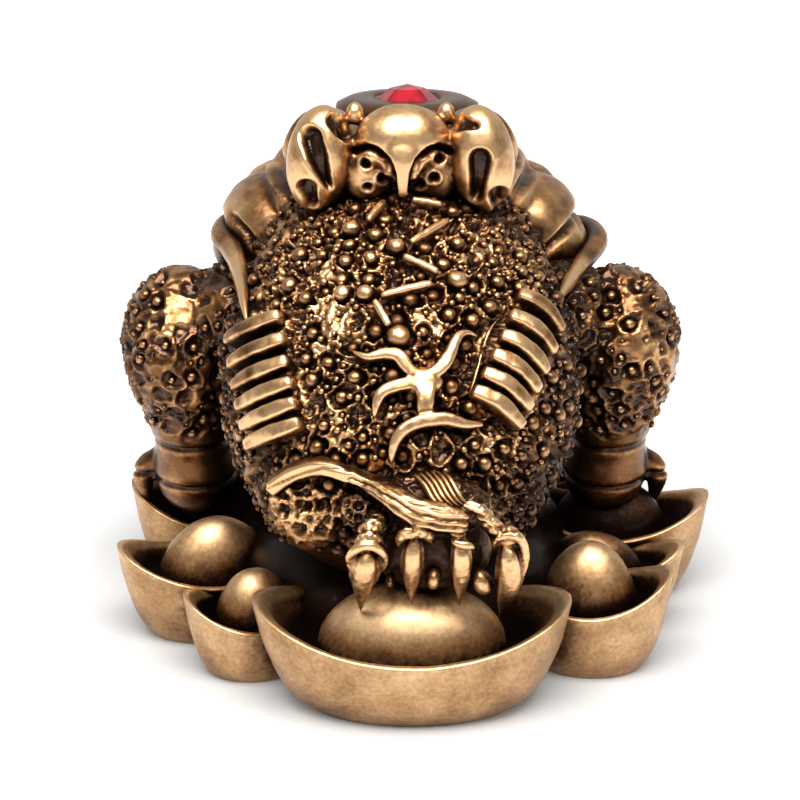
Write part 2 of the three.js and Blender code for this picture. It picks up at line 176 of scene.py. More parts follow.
class Skin:
    """A closed surface held as arrays while it is carved."""

    def __init__(self, mesh):
        self.mesh = mesh
        self.points = self.read(mesh.vertices, "co", 3)
        self.edges = self.read(mesh.edges, "vertices", 2, np.int32)
        self.count = np.bincount(self.edges.ravel(), minlength=len(self.points))

    @staticmethod
    def read(items, name, width, kind=np.float32):
        values = np.empty(len(items) * width, kind)
        items.foreach_get(name, values)
        return values.reshape(-1, width) if kind == np.int32 else values.reshape(-1, width).astype(float)

    def relaxed(self, values, times):
        """Values at the vertices, each averaged with its neighbours' the given number of times."""
        a, b = self.edges.T
        size = len(self.points)
        for _ in range(times):
            sums = [np.bincount(a, v[b], size) + np.bincount(b, v[a], size) for v in values.T]
            values = (values + np.stack(sums, axis=1)) / (self.count + 1)[:, None]
        return values

    def bend(self, normals, times=10):
        """How sharply the surface bends, per millimetre: above 0 on ridges and below 0 in grooves."""
        a, b = self.edges.T
        lengths = np.linalg.norm(self.points[a] - self.points[b], axis=1)
        near = np.bincount(a, lengths, len(self.points)) + np.bincount(b, lengths, len(self.points))
        near = np.maximum(near / np.maximum(self.count, 1), lengths.mean() * 0.5)
        proud = np.einsum("ij,ij->i", self.points - self.relaxed(self.points, times), normals)
        return 3 * proud / (near**2 * times)

    def smooth(self, times):
        self.points = self.relaxed(self.points, times)
        return self

    def normals(self):
        self.mesh.vertices.foreach_set("co", self.points.astype(np.float32).ravel())
        self.mesh.update()
        return self.read(self.mesh.vertex_normals, "vector", 3)

    def lift(self, heights):
        """Moves each vertex out along the surface's normal by its height."""
        self.points = self.points + self.normals() * heights[:, None]
        return self

    def refined(self, wanted):
        """The same surface with each face among the wanted vertices split into four."""
        self.normals()
        bm = bmesh.new()
        bm.from_mesh(self.mesh)
        bm.verts.ensure_lookup_table()
        chosen = set(np.flatnonzero(wanted).tolist())
        edges = [e for e in bm.edges if e.verts[0].index in chosen and e.verts[1].index in chosen]
        bmesh.ops.subdivide_edges(bm, edges=edges, cuts=1, use_grid_fill=True, smooth=0)
        bmesh.ops.triangulate(bm, faces=[f for f in bm.faces if len(f.verts) > 4])
        bm.to_mesh(self.mesh)
        bm.free()
        return Skin(self.mesh)


def grain(points, size, octaves=3, seed=0):
    """Smooth noise, mostly from -1 to 1, with hills about as wide as size."""
    shift = Vector((seed * 7.31, seed * 3.17, seed * 5.77))
    return np.array([noise.fractal(Vector(p) / size + shift, 1, 2, octaves) for p in points])


def ramp(values, low, high):
    """0 below low, 1 above high, and smooth between."""
    t = np.clip((values - low) / (high - low), 0, 1)
    return t * t * (3 - 2 * t)


def line_distance(points, line):
    """How far each point is from a line of corners, and the share of the line where it is nearest."""
    line = np.array(line, float)
    best = np.full(len(points), np.inf)
    share = np.zeros(len(points))
    count = len(line) - 1
    for i in range(count):
        step = line[i + 1] - line[i]
        t = np.clip((points - line[i]) @ step / (step @ step), 0, 1)
        away = np.linalg.norm(points - line[i] - t[:, None] * step, axis=1)
        nearer = away < best
        best = np.where(nearer, away, best)
        share = np.where(nearer, (i + t) / count, share)
    return best, share


def stroke(skin, line, half_widths, depth, edge, where):
    """Heights of a stroke drawn in x and z: depth inside its half-widths, falling to 0 over edge."""
    away, share = line_distance(skin.points[:, [0, 2]], line)
    return depth * (1 - ramp(away - along(half_widths, share), -edge, edge)) * where


def scattered(skin, mask, smallest, largest, spacing, seed, tries=9000, small_share=2.0):
    """Places on the skin, each with a radius, no two nearer than their radii times spacing."""
    rng = np.random.default_rng(seed)
    order = rng.permutation(np.flatnonzero(mask))[:tries]
    spots = np.empty((0, 3))
    radii = np.empty(0)
    chosen = []
    sizes = np.sort(smallest + (largest - smallest) * rng.random(len(order)) ** small_share)[::-1]
    for i, r in zip(order, sizes):
        p = skin.points[i]
        if len(spots) and (np.linalg.norm(spots - p, axis=1) < (radii + r) * spacing).any():
            continue
        spots = np.vstack((spots, p))
        radii = np.append(radii, r)
        chosen.append(i)
    return np.array(chosen, int), radii


def dishes(skin, chosen, radii, depth, rim, rim_width=0.2, seed=1, ragged=0.0):
    """Heights of round dishes, as shares of each radius deep, with a thin broken rim around each."""
    rng = np.random.default_rng(seed)
    heights = np.zeros(len(skin.points))
    for i, r in zip(chosen, radii):
        offset = skin.points - skin.points[i]
        away = np.einsum("ij,ij->i", offset, offset)
        near = np.flatnonzero(away < (1.6 * r) ** 2)
        turn = np.arctan2(offset[near, 2], offset[near, 0])
        first, second, third, strength = rng.uniform(0, 2 * math.pi, 4)
        wobble = 1 + ragged * (np.sin(2 * turn + first) + 0.7 * np.sin(3 * turn + second))
        away = np.sqrt(away[near]) * wobble
        gap = np.clip(0.4 + 0.8 * np.cos(turn - third), 0, 1) * (0.4 + strength / 6)
        dish = -depth * r * np.clip(1 - (away / r) ** 4, 0, 1)
        edge = rim * gap * np.exp(-(((away - r) / rim_width) ** 2))
        hold = 1 - ramp(away, r, 1.5 * r)
        heights[near] = heights[near] * (1 - hold) + (dish + edge) * hold
    return heights


# The carved back, which is one egg tilted up towards the head.

TORSO_MIDDLE = np.array((0, -1, 37.0))
TORSO_RADII = np.array((24, 29, 21.0))
TORSO_TILT = 40
TORSO_TURN = np.array(Matrix.Rotation(math.radians(TORSO_TILT), 3, "X"))


def on_back(x, z, lift=0.0):
    """The point of the back at x and z, raised along the surface's normal, and that normal."""
    start = (np.array((x, TORSO_MIDDLE[1], z)) - TORSO_MIDDLE) @ TORSO_TURN / TORSO_RADII
    step = np.array(BACKWARD) @ TORSO_TURN / TORSO_RADII
    half = start @ step / (step @ step)
    rest = (start @ start - 1) / (step @ step)
    hit = start + step * (math.sqrt(max(half * half - rest, 0)) - half)
    normal = unit(TORSO_TURN @ (hit / TORSO_RADII))
    return TORSO_TURN @ (hit * TORSO_RADII) + TORSO_MIDDLE + normal * lift, normal


def on_back_path(places, lift=0.0):
    return [on_back(x, z, lift)[0] for x, z in places]


BAR_COUNT = 6
# The bars of each flank in x and z, from the first bar on, and how far each next one lies from the last.
FLANKS = (
    {
        "inner": (-14.7, 48.8),
        "inner_step": (0.54, -2.14),
        "outer": (-21.5, 43.6),
        "outer_step": (0.58, -2.04),
        "bow": 0.35,
    },
    {
        "inner": (14.6, 50.9),
        "inner_step": (-1.18, -1.74),
        "outer": (19.8, 45.4),
        "outer_step": (-1.06, -1.68),
        "bow": 0.7,
    },
)
# The balls of the star chain, each a place in x and z and a radius, and the rods between them.
STARS = (
    (-6.2, 58.1, 1.3),
    (-3.8, 55.7, 0.8),
    (-0.6, 56.9, 1.3),
    (7.0, 53.5, 1.35),
    (-4.4, 52.5, 1.15),
    (-7.3, 52.2, 1.1),
    (-0.2, 48.3, 1.55),
)
RODS = (
    ((-4.1, 58.7), (-2, 60.3)),
    ((1.4, 60.4), (5.3, 59.8)),
    ((1.2, 57), (6, 58.6)),
    ((0.3, 55.9), (4.7, 54.2)),
    ((-2.5, 52.1), (4, 53.3)),
    ((-3.2, 51.7), (-1.3, 49.2)),
)
HOOK = (
    (10.3, 38.1),
    (7.9, 38.5),
    (5.5, 39.3),
    (3.1, 39.3),
    (1, 38.7),
    (-0.4, 37.4),
    (-1, 35.7),
    (-1.1, 34.1),
)
# The tendrils: a line in x and z, and the half-widths along it.
CURLS = (
    (
        ((-6, 46.6), (-4.2, 46), (-1.7, 46.4), (-0.2, 46.2), (1, 44.9), (2.9, 43.8)),
        (0.25, 0.55, 0.75, 0.9, 0.95, 1.05),
    ),
    (
        ((2.5, 43.7), (4.5, 44.6), (5.8, 45.9), (6.5, 47.2), (7.2, 48), (8.4, 48.1), (9.6, 47.6)),
        (1.1, 1.05, 0.95, 0.8, 0.68, 0.5, 0.3),
    ),
    (
        ((2.4, 43.6), (-0.4, 43.1), (-2.1, 42.4), (-2.8, 41.3), (-3.2, 39.5)),
        (1.3, 0.95, 0.82, 0.7, 0.4),
    ),
    (
        ((2.8, 44), (3, 41.5), (2.8, 39.4)),
        (2, 1.1, 1.2),
    ),
    (
        HOOK,
        (0.55, 0.75, 0.9, 0.95, 0.9, 0.85, 0.75, 0.45),
    ),
)
SEAM = ((12.3, 49.2), (11, 48), (10.2, 46.4), (9.4, 44.1), (8.5, 41.8))
# Where the back is worn bare: the place in x and z, and about how wide.
BARE = (
    (4.7, 49.6, 2.0),
    (-9.6, 54, 2.4),
    (-8.1, 36.6, 2.4),
    (-6.7, 50.4, 1.4),
    (7.6, 55.9, 1.6),
    (-11, 46, 1.6),
    (4.6, 33.4, 2.2),
)
# Spots of amber gloss, given in the same way.
AMBER = ((3.4, 45.5, 1.1), (-3.3, 34.2, 1.3), (9.6, 40, 1.3))


def bar_ends(flank, i):
    """The inner end, middle and outer end of one bar of a flank, in x and z."""
    start = np.array(flank["inner"]) + i * np.array(flank["inner_step"])
    end = np.array(flank["outer"]) + i * np.array(flank["outer_step"])
    return start, (start + end) / 2 + (0, flank["bow"]), end


def near_lines(points, lines):
    """How far each point is from the nearest of some lines of corners."""
    return np.min([line_distance(points, line)[0] for line in lines], axis=0)


def torso_form():
    """The torso's plain egg with both haunches, finer where it is carved."""
    bm = bmesh.new()
    egg(bm, TORSO_MIDDLE, TORSO_RADII, (TORSO_TILT, 0, 0), 64, 48)
    egg(bm, (0, 11, 49), (20, 15, 13), sides=48, rings=32)
    egg(bm, (-9.5, -17, 27), (9, 8, 8.5), sides=40, rings=24)
    egg(bm, (9, -14, 25), (9, 8, 8.5), sides=40, rings=24)
    skin = Skin(fused(bm, 0.5)).smooth(6)
    x, y, z = skin.points.T
    return skin.refined((y < 2) & (z > 24) & (np.abs(x) < 17.5 + (z - 40) * 0.1))


def bare_places(points):
    """How bare the back is worn, from 0 to 1."""
    bare = 0.85 * ramp(grain(points, 4, 2, 12), 0.08, 0.35)
    rough = 0.5 * grain(points, 1.6, 3, 13)
    for x, z, width in BARE:
        away = np.linalg.norm(points - on_back(x, z)[0], axis=1) / width
        bare = np.maximum(bare, 1 - ramp(away + rough, 0.6, 1))
    return bare


def balls_in_dishes(skin, heights, chosen, radii, sizes, rises, share, seed, bright):
    """Balls that lie in a share of the dishes, as pearls takes them."""
    rng = np.random.default_rng(seed)
    normals = skin.normals()
    spots = []
    for i, r in zip(chosen, radii):
        size = r * rng.uniform(*sizes)
        if rng.random() < share:
            rise = heights[i] + size * rng.uniform(*rises)
            spots.append((skin.points[i] + normals[i] * rise, normals[i], size, bright[i]))
    return spots


def back_skin():
    """The torso with its jumble of dished warts, and the balls that lie in the dishes."""
    skin = torso_form()
    points = skin.points
    x, y, z = points.T
    lines = [on_back_path(line) for line in (*RODS, *[curl[0] for curl in CURLS], SEAM)]
    clear = near_lines(points, lines)
    bars = [on_back_path(bar_ends(flank, i)) for flank in FLANKS for i in range(BAR_COUNT)]
    from_bars = near_lines(points, bars)
    stars = np.array([on_back(*star[:2])[0] for star in STARS])
    from_stars = np.min([np.linalg.norm(points - star, axis=1) for star in stars], axis=0)
    haunch = 1 - ramp(np.linalg.norm((points - (-11.4, -22, 26.8)) / (5.2, 6.5, 5.6), axis=1), 0.85, 1.1)
    bare = bare_places(points)
    reach = ramp(-y, -16, -8) * ramp(z, 18, 24)
    carved = (y < 13) & (z > 21) & (from_bars > 1.8)
    wanted = carved & (clear > 0.9) & (from_stars > 2) & (bare < 0.7) & (haunch < 0.3)
    chosen, radii = scattered(skin, wanted, 0.55, 1.75, 0.86, 11, 20000, 2.4)
    star_spots = np.array([np.argmin(np.linalg.norm(points - star, axis=1)) for star in stars])
    star_radii = np.array([star[2] for star in STARS])
    everything = np.concatenate((chosen, star_spots))
    widths = np.concatenate((radii, star_radii * 1.3))
    melted = grain(points, 1.2, 4, 3)
    ridged = 1 - np.abs(grain(points, 1.5, 3, 5)) * 2.6
    heights = reach * (0.42 * melted + 0.42 * ridged - 0.3) * (1 - 0.6 * bare)
    dished = dishes(skin, everything, widths, 0.45, 0.5, 0.17, ragged=0.13)
    heights += dished * reach
    crumb_skin = carved & (clear > 1) & (np.abs(dished) < 0.1) & (haunch < 0.3)
    crumbs, crumb_radii = scattered(skin, crumb_skin, 0.22, 0.5, 2.2, 16, 3000)
    heights += 0.5 * (1 - ramp(clear, 0.9, 1.7)) * -reach
    pits, pit_radii = scattered(skin, haunch > 0.7, 0.6, 1.1, 1.25, 14)
    heights += haunch * (dishes(skin, pits, pit_radii, 0.7, 0.35, 0.22, 15, 0.1) + 0.3)
    # The next lines paint shade: the skin and its balls grow darker towards the bottom of the torso, at the
    # far sides of the flanks and low on the right by the leg.
    low = ramp(z, 27, 35)
    painted_shade_factor = 1 - 0.55 * ramp(np.abs(x), 18.5, 22.5) * ramp(z, 34, 39)
    painted_shade_factor -= 0.7 * ramp(x, 9, 16) * (1 - ramp(z, 28, 34))
    normals = skin.normals()
    bright = low * painted_shade_factor
    spots = balls_in_dishes(skin, heights, chosen, radii, (0.48, 0.7), (0.25, 0.6), 0.82, 4, bright)
    for i, r in zip(crumbs, crumb_radii):
        spots.append((points[i] + normals[i] * (heights[i] + 0.3 * r), normals[i], r, bright[i]))
    pearls("back_balls", spots, SMALL_BALL)
    spots = [(points[i] + normals[i] * 0.3, normals[i], r, 1.25) for i, r in zip(star_spots, star_radii)]
    pearls("star_balls", spots, LARGE_BALL)
    skin.lift(heights)
    # The skin's brightness: worn bare patches and haunch pits, dimmed by the painted shade.
    worn = (0.6 - 0.02 * low + 0.3 * bare * low) * painted_shade_factor + 0.14 * haunch
    torso = finished(skin.mesh, "carved_torso", skin.points, worn)
    glow = []
    for px, pz, width in AMBER:
        away = np.linalg.norm(points - on_back(px, pz)[0], axis=1)
        glow.append(1 - ramp(away, width * 0.6, width))
    store(torso.data, "amber", np.max(glow, axis=0))


def ball_mesh(sides, rings):
    bm = bmesh.new()
    bmesh.ops.create_uvsphere(bm, u_segments=sides, v_segments=rings, radius=1)
    return raw_mesh(bm, "ball")


SMALL_BALL = ball_mesh(10, 6)
LARGE_BALL = ball_mesh(18, 12)


def pearls(name, spots, shape):
    """Many balls as one piece, each flattened and lumpy, worn bright on top and dark round its sides.
    Each spot is a place, the way up, a radius, and how bright it is, which on the back also holds painted
    shade."""
    bm = bmesh.new()
    for place, up, radius, _ in spots:
        turn = Vector(UP).rotation_difference(Vector(up)).to_matrix().to_4x4()
        copy = shape.copy()
        size = Matrix.Diagonal((radius, radius, radius * 0.92, 1))
        copy.transform(Matrix.Translation(Vector(place)) @ turn @ size)
        bm.from_mesh(copy)
        bpy.data.meshes.remove(copy)
    skin = Skin(raw_mesh(bm, name))
    each = len(shape.vertices)
    places = np.repeat([spot[0] for spot in spots], each, axis=0)
    ups = np.repeat([spot[1] for spot in spots], each, axis=0)
    worn = np.repeat([spot[3] for spot in spots], each)
    top = np.einsum("ij,ij->i", unit(skin.points - places), ups)
    skin.lift(0.15 * grain(skin.points, 1.1, 2, 6))
    finished(skin.mesh, name, skin.points, (0.14 + 0.42 * ramp(top, 0.05, 0.95)) * (0.35 + 0.65 * worn))


def flank_bars():
    """Six bars down each flank, squarely cut, which stand a little prouder at their outer ends."""
    bm = bmesh.new()
    for flank in FLANKS:
        for i in range(BAR_COUNT):
            ends = bar_ends(flank, i)
            path = [on_back(*place, lift)[0] for place, lift in zip(ends, (0.4, 0.8, 0.9))]
            out = on_back(*ends[1])[1]
            sweep(bm, path, (1.02, 1.08, 1.05, 0.95), (1.4, 1.5, 1.6, 1.5), 28, 40, 0.1, 0.48, out)
    skin = Skin(raw_mesh(bm, "bars"))
    x, _, z = skin.points.T
    # The bars grow darker towards their outer ends, down the flank: painted shade.
    outer = ramp(np.abs(x) + 0.2 * (z - 40), 17.5, 22)
    worn = 0.86 - 0.35 * outer + 0.4 * grain(skin.points, 2.2, 3, 17)
    skin.lift(0.09 * grain(skin.points, 1.6, 3, 7))
    finished(skin.mesh, "flank_bars", skin.points, worn)


def back_tendrils():
    """The cross-shaped tendril and the hooked one, the seam by the bars, and the rods of the star chain."""
    bm = bmesh.new()
    for line, widths in CURLS:
        out = on_back(*line[len(line) // 2])[1]
        sweep(bm, on_back_path(line, 0.3), widths, (1.2, 1.3, 1.3, 1.1), 24, 64, 0.3, 0.5, out)
    egg(bm, on_back(2.6, 43.6)[0], (2.7, 1.3, 1.9), (-30, 0, 0))
    skin = Skin(fused(bm, 0.18)).smooth(3)
    skin.lift(0.06 * grain(skin.points, 1.4, 2, 8))
    finished(skin.mesh, "back_tendrils", skin.points, 0.8)
    bm = bmesh.new()
    for rod in RODS:
        out = on_back(*rod[0])[1]
        sweep(bm, on_back_path(rod, 0.8), (0.5, 0.48, 0.56), (0.6, 0.6, 0.6), 14, 24, 0.2, 0.75, out)
    for line in (SEAM[:3], SEAM[2:]):
        out = on_back(*line[1])[1]
        sweep(bm, on_back_path(line, 0.15), (0.12, 0.2, 0.12), (0.4, 0.4, 0.4), 10, 32, 0.4, out=out)
    skin = Skin(raw_mesh(bm, "rods"))
    skin.lift(0.09 * grain(skin.points, 1.1, 2, 9))
    finished(skin.mesh, "star_rods", skin.points, 0.86)


# The head.

# Folds of the cheeks as seen from behind: a line in x and z, its half-widths, and how high or deep it is cut.
FOLDS = (
    (((-18.6, 62.6), (-16.6, 60.8), (-15, 58.6)), (0.6, 1.1, 0.8), -1.3),
    (((-19.6, 61), (-18, 59.5), (-15.9, 58)), (0.15, 0.3, 0.2), 0.5),
    (((-23, 54.2), (-21.4, 52.9), (-19.4, 50.6)), (0.35, 0.5, 0.5), -0.9),
    (((-22.8, 53.6), (-20.6, 51.9), (-18.4, 50.2)), (0.15, 0.2, 0.15), 0.5),
    (((19.6, 62), (18.6, 60.6), (16.6, 58.8), (14.9, 55.8)), (0.4, 0.9, 1, 0.7), -1.3),
    (((16.2, 52.6), (18, 51), (20, 50.5), (22.6, 52.4), (25.2, 54.2)), (0.4, 0.5, 0.5, 0.6, 0.5), -1.1),
    (((16.5, 61.5), (17.8, 63), (19.4, 63.8)), (0.3, 0.45, 0.2), -0.8),
)


# The ridge of the lip and the cut of the mouth, on the right side.
LIP = ((3.5, 41.5, 58), (13, 37, 56.5), (20, 27, 56), (19.5, 16, 54.5), (15, 8, 54))
MOUTH = ((1, 44.5, 53.3), (4, 43.5, 53.5), (16, 37, 53), (25.5, 26, 53.5), (25.5, 16, 52.5))


def head():
    bm = bmesh.new()
    egg(bm, (0, 21, 58), (19, 18, 8.5), (8, 0, 0), 48, 32)
    egg(bm, (0, 23, 50), (22, 18.5, 8.5), (12, 0, 0), 48, 32)
    egg(bm, (0.5, 29.5, 61.5), (11.5, 10, 7))
    for s in SIDES:
        egg(bm, (s * 18.5, 21, 50.5), (7.2, 10, 8.6), (0, 0, -s * 12))
        egg(bm, (s * 9.8, 10, 64.5), (5.4, 7.5, 6.4))
        egg(bm, (s * 22.6, 20, 49.3), (4, 6.5, 4.2))
        sweep(bm, mirrored(s, LIP), (2, 2.2, 2.2, 1.8, 0.8), (2.4, 2.6, 2.6, 2.2, 1), 20, 36)
    skin = Skin(fused(bm, 0.38)).smooth(10)
    points = skin.points
    heights = 0.08 * grain(points, 3, 3, 21)
    behind = ramp(-points[:, 1], -26, -20) * ramp(points[:, 2], 46, 49)
    for line, widths, depth in FOLDS:
        heights += stroke(skin, line, widths, depth, 0.3 if depth > 0 else 0.5, behind)
    for s in SIDES:
        away, share = line_distance(points, evenly(mirrored(s, MOUTH), 30))
        heights -= 1.4 * (1 - ramp(away, 0.6, 1.5)) * (1 - ramp(share, 0.85, 1))
        nostril = np.linalg.norm((points - (s * 4, 39.5, 62.5)) / (1.5, 2.2, 1.3), axis=1)
        heights -= 1.3 * (1 - ramp(nostril, 0.5, 1.1)) - 0.5 * np.exp(-(((nostril - 1.5) / 0.3) ** 2))
    skin.lift(heights)
    finished(skin.mesh, "head", skin.points, 0.76 + 0.45 * grain(points, 6, 3, 22))


# Cuts of the crest from behind: a line in x and z, its half-widths, its depth and how soft its edge is.
LEFT_ARCH = ((-5.8, 67.2), (-4.6, 67.9), (-3.2, 67.6), (-1.9, 66.5), (-1.2, 64.9), (-0.9, 62.2))
RIGHT_ARCH = ((1.5, 62.4), (1.8, 64.9), (2.5, 66.5), (3.8, 67.6), (5.1, 67.9), (6.3, 67.2))
ARCH_WIDTHS = (0.35, 0.5, 0.5, 0.4)
CREST_CUTS = (
    (((-11.6, 69.2), (-10.6, 66.6), (-9.2, 62.9)), (1.5, 1.3, 0.4), -1.7, 0.3),
    (((-8.8, 71.4), (-7.6, 70.2), (-6.8, 69)), (0.7, 0.9, 0.5), -1.2, 0.25),
    (((-12.2, 62.4), (-11.6, 60.4)), (1.3, 0.8), -1.3, 0.3),
    (((10.3, 66.4), (10.1, 64.4), (9.8, 61.4)), (1.5, 1.2, 0.9), -1.7, 0.3),
    (((6.9, 70.2), (8.2, 71), (9.8, 70.9)), (0.4, 0.7, 0.4), -1.2, 0.25),
    (((12.8, 61.4), (13.2, 58.6)), (1.2, 0.7), -1.3, 0.3),
    (LEFT_ARCH, ARCH_WIDTHS, -1.5, 0.3),
    (RIGHT_ARCH, ARCH_WIDTHS, -1.5, 0.3),
)
# Pits of the hollows under the crest: a place in x and z, and a radius.
CREST_PITS = (
    (-4.5, 65.7, 0.7),
    (-2.3, 63.7, 0.75),
    (-4.3, 62.5, 0.6),
    (5.1, 66.4, 0.75),
    (4.4, 63.8, 0.7),
    (2.5, 62.9, 0.75),
)


def crest():
    """Three lobes behind the eyes, with cuts shaped like commas, over two pitted hollows."""
    bm = bmesh.new()
    egg(bm, (0.3, 2.6, 68.2), (6.3, 4.4, 4.8))
    ridge = ((0.3, 1, 70), (0.3, -0.4, 65.5), (0.3, -2.0, 61.5))
    sweep(bm, ridge, (5, 2.6, 1.5), (3, 2.4, 1))
    for s in SIDES:
        egg(bm, (s * 10.6, 2.8, 65.7), (4.4, 4.4, 7.2), (0, -s * 8, 0))
        egg(bm, (s * 4.3, 3.4, 64.2), (3.6, 3.2, 4.6))
        egg(bm, (s * 6, 4.4, 71.4), (1.2, 1.2, 1.6))
    skin = Skin(fused(bm, 0.24)).smooth(5)
    points = skin.points
    x, y, z = points.T
    behind = ramp(-y, -3.5, -1.5)
    heights = np.zeros(len(points))
    for line, widths, depth, edge in CREST_CUTS:
        heights += stroke(skin, line, widths, depth, edge, behind)
    for px, pz, r in CREST_PITS:
        away = np.hypot(x - px, z - pz)
        rim = 0.25 * np.exp(-(((away - r * 1.35) / 0.25) ** 2))
        heights += behind * (-1.3 * (1 - ramp(away, r * 0.5, r * 1.1)) + rim)
    skin.lift(heights + 0.05 * grain(points, 2, 3, 31))
    worn = 0.9 + 0.25 * grain(points, 3.5, 3, 32) - 0.6 * ramp(-heights, 0.5, 1.4)
    finished(skin.mesh, "crest", skin.points, worn)


def crown():
    """The boss on top of the head, a wide collar that slopes at its edge around the crown stone."""
    bm = bmesh.new()
    r = CROWN_STONE_RADIUS + STONE_GAP
    slope = ((r + 0.35, 0.45), (r + 3.6, 0.3), (10.1, -0.5), (10.4, -1.7), (10.2, -4.5))
    turned(bm, ((r, -1.7), (r, 0.25), *slope), 64, (CROWN_X, CROWN_Y, 67.8), (0, 0.06, 1))
    finished(raw_mesh(bm, "crown"), "crown_collar", wear_and_shade=0.36)
    for s, side in SIDES.items():
        bm = bmesh.new()
        r = EYE_STONE_RADIUS + STONE_GAP
        profile = ((r, -1.7), (r, 0.25), (r + 0.3, 0.45), (r + 0.8, 0.2), (r + 1, -0.6), (r + 1, -2.7))
        turned(bm, profile, 40, (s * 13.4, 13.4, 66.2), (s * 0.8, 0.5, 0.34))
        finished(raw_mesh(bm, "eye_collar"), f"eye_collar_{side}")


def turned(bm, profile, sides, centre=(0, 0, 0), axis=UP):
    """A closed ring or disc turned from a profile of radius and height about an axis."""
    verts = [bm.verts.new((r, 0, z)) for r, z in profile]
    edges = [bm.edges.new(pair) for pair in zip(verts, verts[1:])]
    if profile[0][0] > 0:
        edges.append(bm.edges.new((verts[-1], verts[0])))
    bmesh.ops.spin(
        bm, geom=verts + edges, cent=(0, 0, 0), axis=UP, angle=2 * math.pi, steps=sides, use_merge=True
    )
    bmesh.ops.remove_doubles(bm, verts=bm.verts, dist=1e-5)
    bmesh.ops.recalc_face_normals(bm, faces=bm.faces)
    turn = Vector(UP).rotation_difference(Vector(axis).normalized()).to_matrix().to_4x4()
    bmesh.ops.transform(bm, matrix=Matrix.Translation(Vector(centre)) @ turn, verts=bm.verts)


COIN_TILT = math.radians(10)


def coin():
    """The coin between the jaws, with a raised rim."""
    bm = bmesh.new()
    half = ((7.4, 1.0), (7.7, 1.2), (8.7, 1.2), (9, 0.9))
    below = [(r, -z) for r, z in half]
    profile = ((0, -1.0), *below, *half[::-1], (0, 1.0))
    turned(bm, profile, 72, (0, 38.5, 54.6), (0, -math.sin(COIN_TILT), math.cos(COIN_TILT)))
    finished(raw_mesh(bm, "coin"), "coin")


def shoulder_cords():
    """A cord over each shoulder, from under the jaw to the first bar of the flank."""
    bm = bmesh.new()
    left = ((-14, 30, 46), (-23, 25, 51), (-24.9, 17, 51.5), (-23.2, 12, 50.6), (-21.8, 6, 49.5))
    left = (*left, *on_back_path(((-19.9, 48.4), (-19.3, 46.7)), 0.7))
    right = ((14, 30, 46), (25, 27, 50), (27.7, 20, 50), (25, 12, 48.6), (23, 6, 48))
    right = (*right, *on_back_path(((20.5, 48.4),), 0.6))
    for path, end in ((left, 0.85), (right, 0.9)):
        sweep(bm, path, (1.6, 1.7, 1.3, end), (1.5, 1.6, 1.4, 1.1), 20, 56)
    skin = Skin(raw_mesh(bm, "cords"))
    _, y, _ = skin.points.T
    worn = 1.2 - 0.6 * ramp(y, 4, 14) + 0.2 * grain(skin.points, 3, 3, 37)
    skin.lift(0.08 * grain(skin.points, 2.5, 2, 38))
    finished(skin.mesh, "shoulder_cords", skin.points, worn)


# The legs.


ARM = ((28.6, 12, 48.2), (30.6, 12, 40), (29.6, 12.6, 30), (29, 14, 11))
ARM_WIDTHS = (6.6, 8.6, 9, 8.9, 8.2, 7.2, 6.3, 5.9, 7.4, 7.9, 6.4)
ARM_DEPTHS = (7, 9.6, 10.6, 10.4, 9.8, 9, 8.2, 7.8, 9, 9.4, 8)
FOOT = ((29, 14, 18), (27, 26, 19), (25, 33, 17))
SPUR = ((32.5, 12.5, 21.5), (36.6, 13.5, 17.5), (36, 14, 11))
# The heights of the two rings cut round the ankle.
ANKLE_RINGS = (23.6, 17.5)


def front_leg(s, side):
    bm = bmesh.new()
    sweep(bm, mirrored(s, ARM), ARM_WIDTHS, ARM_DEPTHS, 40, 48, 0.35, out=FORWARD)
    egg(bm, (s * 22, 11, 42), (8, 9, 7))
    sweep(bm, mirrored(s, FOOT), (5, 6, 4.5), (4.5, 4.5, 3.5), 24, 24)
    sweep(bm, mirrored(s, SPUR), (1.6, 1.8, 0.6), (1.6, 1.8, 0.6), out=SIDEWAYS)
    x = s * 25.4
    for i in (-1, 0, 1):
        toe = ((x + i * 2, 29, 18), (x + i * 5.4, 36.5, 19.4), (x + i * 6.6, 41, 11))
        sweep(bm, toe, (2.3, 2.5, 0.4), (2.3, 2.5, 0.4))
    skin = Skin(fused(bm, 0.34)).smooth(6)
    points = skin.points
    warty = ramp(points[:, 2], 24, 28)
    bare = ramp(grain(points, 4.5, 3, 45 + s), 0.05, 0.4)
    wanted = (warty > 0.5) & (grain(points, 3.6, 2, 47 + s) > -0.12) & (bare < 0.8)
    chosen, radii = scattered(skin, wanted, 0.4, 1.5, 0.92, 40 + s)
    melted = 0.22 * grain(points, 1.6, 4, 41) + 0.3 * (1 - 2 * np.abs(grain(points, 2.8, 3, 42)))
    heights = warty * melted * (1 - 0.5 * bare)
    heights += dishes(skin, chosen, radii, 0.42, 0.36, 0.24, 2, 0.16) * warty
    heights += 0.05 * (1 - warty) * grain(points, 2.5, 3, 43)
    for level in ANKLE_RINGS:
        heights -= 0.5 * np.exp(-(((points[:, 2] - level) / 0.45) ** 2)) * (points[:, 1] < 24)
    bright = np.full(len(points), 0.8)
    spots = balls_in_dishes(skin, heights, chosen, radii, (0.36, 0.6), (0.1, 0.5), 0.6, 44 + s, bright)
    skin.lift(heights)
    # Darker on the inner side, where the leg meets the body: painted shade.
    outer = ramp(np.abs(points[:, 0]), 20, 27)
    worn = (0.36 + 0.26 * bare) * warty + 0.44 * (1 - warty)
    finished(skin.mesh, f"front_leg_{side}", skin.points, worn * (0.35 + 0.65 * outer))
    pearls(f"front_leg_balls_{side}", spots, SMALL_BALL)


